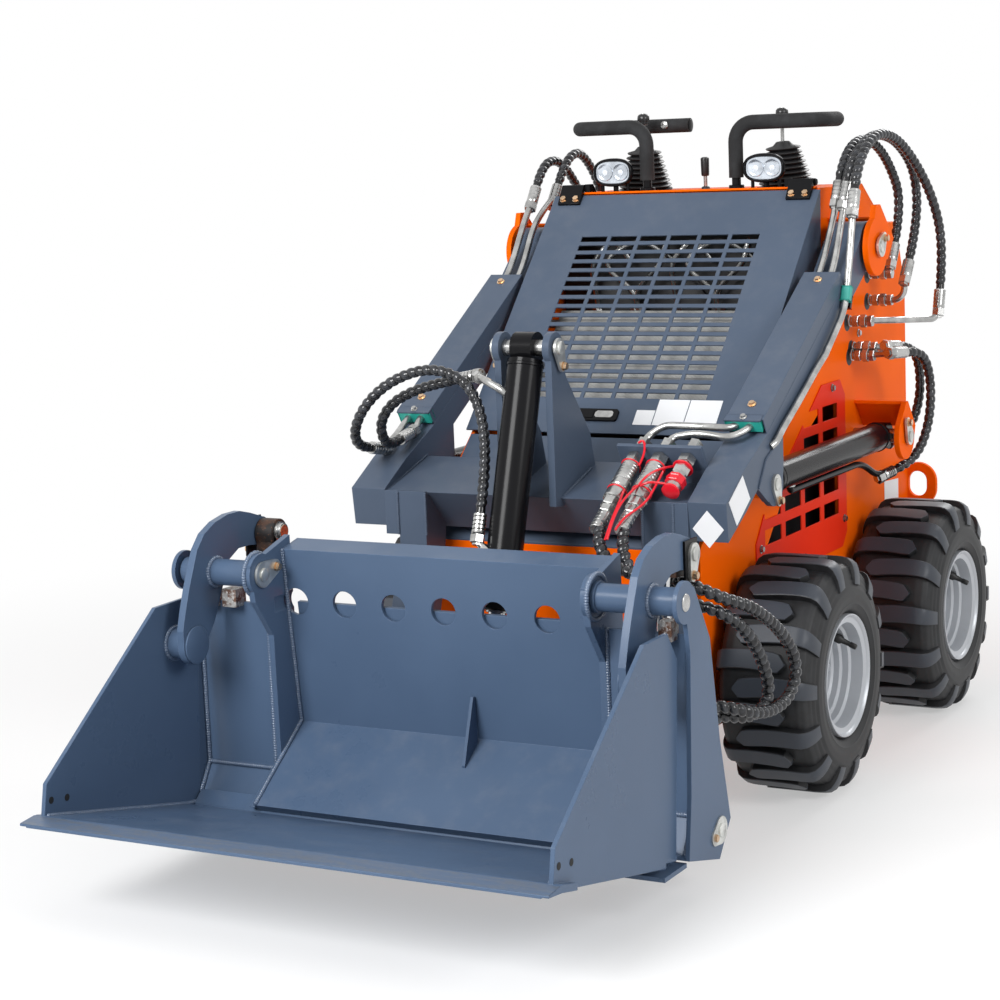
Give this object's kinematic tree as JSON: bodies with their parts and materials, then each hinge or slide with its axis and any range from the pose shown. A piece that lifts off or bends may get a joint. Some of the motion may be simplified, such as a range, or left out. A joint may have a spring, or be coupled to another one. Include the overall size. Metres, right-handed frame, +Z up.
{
  "type": "compact wheeled skid steer loader with four-in-one bucket",
  "caption": "Walk-behind skid steer loader on wheels, with lift arms, a tilting clam bucket on hydraulic cylinders, a hinged grille hood and a fold-up operator step.",
  "frame": {"origin": "on the ground under the middle of the overall length and width", "axes": "+Z up, -Y forward towards the bucket, +X to the operator's left"},
  "size_m": [1.0437, 2.466, 1.314],
  "materials": {
    "black_paint": "gloss paint",
    "boot_rubber": "ribbed moulding",
    "cast_block": "dull cast metal",
    "chrome_rod": "polished hard chrome",
    "foam_grip": "closed cell foam",
    "grey_paint": "satin powder coat",
    "hose_rubber": "spiral wrapped hose",
    "lamp_glass": "clear lens in a black case",
    "orange_paint": "gloss powder coat",
    "red_paint": "satin powder coat",
    "rim_silver": "silver paint",
    "tyre_rubber": "moulded rubber",
    "zinc_steel": "bright zinc plate"
  },
  "bodies": {
    "chassis": {"axle_shafts": "zinc_steel", "bulkhead_fittings": "zinc_steel", "chassis_pins": "zinc_steel", "deck_and_rear_cover": "orange_paint", "drive_levers": "boot_rubber", "engine": "cast_block", "frame": "orange_paint", "grab_bars": "foam_grip", "lift_hoses": "hose_rubber", "lower_front_plate": "grey_paint", "radiator": "cast_block", "tower_ears": "orange_paint", "tower_hoses": "hose_rubber", "vent_panels": "red_paint", "work_lamps": "lamp_glass"},
    "arms": {"arm_left": "grey_paint", "arm_right": "grey_paint", "crossbeam": "grey_paint", "tilt_pin": "zinc_steel", "arm_covers": "grey_paint", "arm_tubes": "zinc_steel", "quick_couplers": "zinc_steel", "tilt_hoses": "hose_rubber"},
    "bucket": {"hitch": "grey_paint", "hitch_pins": "zinc_steel", "bucket_back": "grey_paint", "jaw_pins": "zinc_steel", "jaw_hoses": "hose_rubber"},
    "jaw": {"jaw_shell": "grey_paint", "jaw_arms": "grey_paint"},
    "hood": {"hood": "grey_paint", "hood_latch": "black_paint", "hood_hinges": "black_paint"},
    "step": {"operator_step": "black_paint"},
    "lift_left_barrel": {"lift_left_barrel": "black_paint"},
    "lift_left_rod": {"lift_left_rod": "chrome_rod"},
    "jaw_left_barrel": {"jaw_left_barrel": "black_paint"},
    "jaw_left_rod": {"jaw_left_rod": "chrome_rod"},
    "lift_right_barrel": {"lift_right_barrel": "black_paint"},
    "lift_right_rod": {"lift_right_rod": "chrome_rod"},
    "jaw_right_barrel": {"jaw_right_barrel": "black_paint"},
    "jaw_right_rod": {"jaw_right_rod": "chrome_rod"},
    "tilt_barrel": {"tilt_barrel": "black_paint"},
    "tilt_rod": {"tilt_rod": "chrome_rod"},
    "wheel_front_left": {"tyre_front_left": "tyre_rubber", "rim_front_left": "rim_silver"},
    "wheel_front_right": {"tyre_front_right": "tyre_rubber", "rim_front_right": "rim_silver"},
    "wheel_rear_left": {"tyre_rear_left": "tyre_rubber", "rim_rear_left": "rim_silver"},
    "wheel_rear_right": {"tyre_rear_right": "tyre_rubber", "rim_rear_right": "rim_silver"}
  },
  "joints": [
    {"name": "lift", "type": "hinge", "parent": "chassis", "child": "arms", "pos_m": [0, 0.446, 1.023], "axis": [-1, 0, 0], "range_deg": [0, 80], "deforming": ["tower_hoses", "lift_hoses"]},
    {"name": "tilt", "type": "hinge", "parent": "arms", "child": "bucket", "pos_m": [0, -0.393, 0.2], "axis": [1, 0, 0], "range_deg": [-12, 95], "deforming": ["tilt_hoses", "jaw_hoses"]},
    {"name": "jaw", "type": "hinge", "parent": "bucket", "child": "jaw", "pos_m": [0, -0.735, 0.515], "axis": [-1, 0, 0], "range_deg": [0, 57]},
    {"name": "hood_open", "type": "hinge", "parent": "chassis", "child": "hood", "pos_m": [0, 0.431, 1.158], "axis": [-1, 0, 0], "range_deg": [0, 60]},
    {"name": "step_fold", "type": "hinge", "parent": "chassis", "child": "step", "pos_m": [0, 0.966, 0.215], "axis": [1, 0, 0], "range_deg": [0, 80]},
    {"name": "wheel_front_left_spin", "type": "hinge", "parent": "chassis", "child": "wheel_front_left", "pos_m": [0.41, 0.002, 0.2286], "axis": [1, 0, 0], "continuous": true},
    {"name": "wheel_front_right_spin", "type": "hinge", "parent": "chassis", "child": "wheel_front_right", "pos_m": [-0.41, 0.002, 0.2286], "axis": [1, 0, 0], "continuous": true},
    {"name": "wheel_rear_left_spin", "type": "hinge", "parent": "chassis", "child": "wheel_rear_left", "pos_m": [0.41, 0.702, 0.2286], "axis": [1, 0, 0], "continuous": true},
    {"name": "wheel_rear_right_spin", "type": "hinge", "parent": "chassis", "child": "wheel_rear_right", "pos_m": [-0.41, 0.702, 0.2286], "axis": [1, 0, 0], "continuous": true},
    {"name": "lift_left_barrel_swing", "type": "hinge", "parent": "chassis", "child": "lift_left_barrel", "pos_m": [0.36, 0.609, 0.61], "axis": [1, 0, 0], "range_deg": [-53.09, 0.5]},
    {"name": "lift_left_rod_slide", "type": "slide", "parent": "lift_left_barrel", "child": "lift_left_rod", "axis": [0, -1, -0.0014], "range_m": [-0.001, 0.39605]},
    {"name": "jaw_left_barrel_swing", "type": "hinge", "parent": "bucket", "child": "jaw_left_barrel", "pos_m": [0.398, -0.62, 0.1], "axis": [1, 0, 0], "range_deg": [-0.5, 3.14]},
    {"name": "jaw_left_rod_slide", "type": "slide", "parent": "jaw_left_barrel", "child": "jaw_left_rod", "axis": [0, 0.0813, 0.9967], "range_m": [-0.15389, 0.001]},
    {"name": "lift_right_barrel_swing", "type": "hinge", "parent": "chassis", "child": "lift_right_barrel", "pos_m": [-0.36, 0.609, 0.61], "axis": [1, 0, 0], "range_deg": [-53.09, 0.5]},
    {"name": "lift_right_rod_slide", "type": "slide", "parent": "lift_right_barrel", "child": "lift_right_rod", "axis": [0, -1, -0.0014], "range_m": [-0.001, 0.39605]},
    {"name": "jaw_right_barrel_swing", "type": "hinge", "parent": "bucket", "child": "jaw_right_barrel", "pos_m": [-0.398, -0.62, 0.1], "axis": [1, 0, 0], "range_deg": [-0.5, 3.14]},
    {"name": "jaw_right_rod_slide", "type": "slide", "parent": "jaw_right_barrel", "child": "jaw_right_rod", "axis": [0, 0.0813, 0.9967], "range_m": [-0.15389, 0.001]},
    {"name": "tilt_barrel_swing", "type": "hinge", "parent": "arms", "child": "tilt_barrel", "pos_m": [0, -0.309, 0.885], "axis": [1, 0, 0], "range_deg": [-1.18, 5.86]},
    {"name": "tilt_rod_slide", "type": "slide", "parent": "tilt_barrel", "child": "tilt_rod", "axis": [0, -0.3045, -0.9525], "range_m": [-0.0264, 0.20209]}
  ],
  "couplings": [
    {"joint": "lift_left_barrel_swing", "follows": "lift", "ratio": -0.65733},
    {"joint": "lift_left_rod_slide", "follows": "lift", "m_per_rad": 0.28293},
    {"joint": "jaw_left_barrel_swing", "follows": "jaw", "ratio": 0.046314},
    {"joint": "jaw_left_rod_slide", "follows": "jaw", "m_per_rad": -0.15368},
    {"joint": "lift_right_barrel_swing", "follows": "lift", "ratio": -0.65733},
    {"joint": "lift_right_rod_slide", "follows": "lift", "m_per_rad": 0.28293},
    {"joint": "jaw_right_barrel_swing", "follows": "jaw", "ratio": 0.046314},
    {"joint": "jaw_right_rod_slide", "follows": "jaw", "m_per_rad": -0.15368},
    {"joint": "tilt_barrel_swing", "follows": "tilt", "ratio": 0.056391},
    {"joint": "tilt_rod_slide", "follows": "tilt", "m_per_rad": 0.12128}
  ]
}
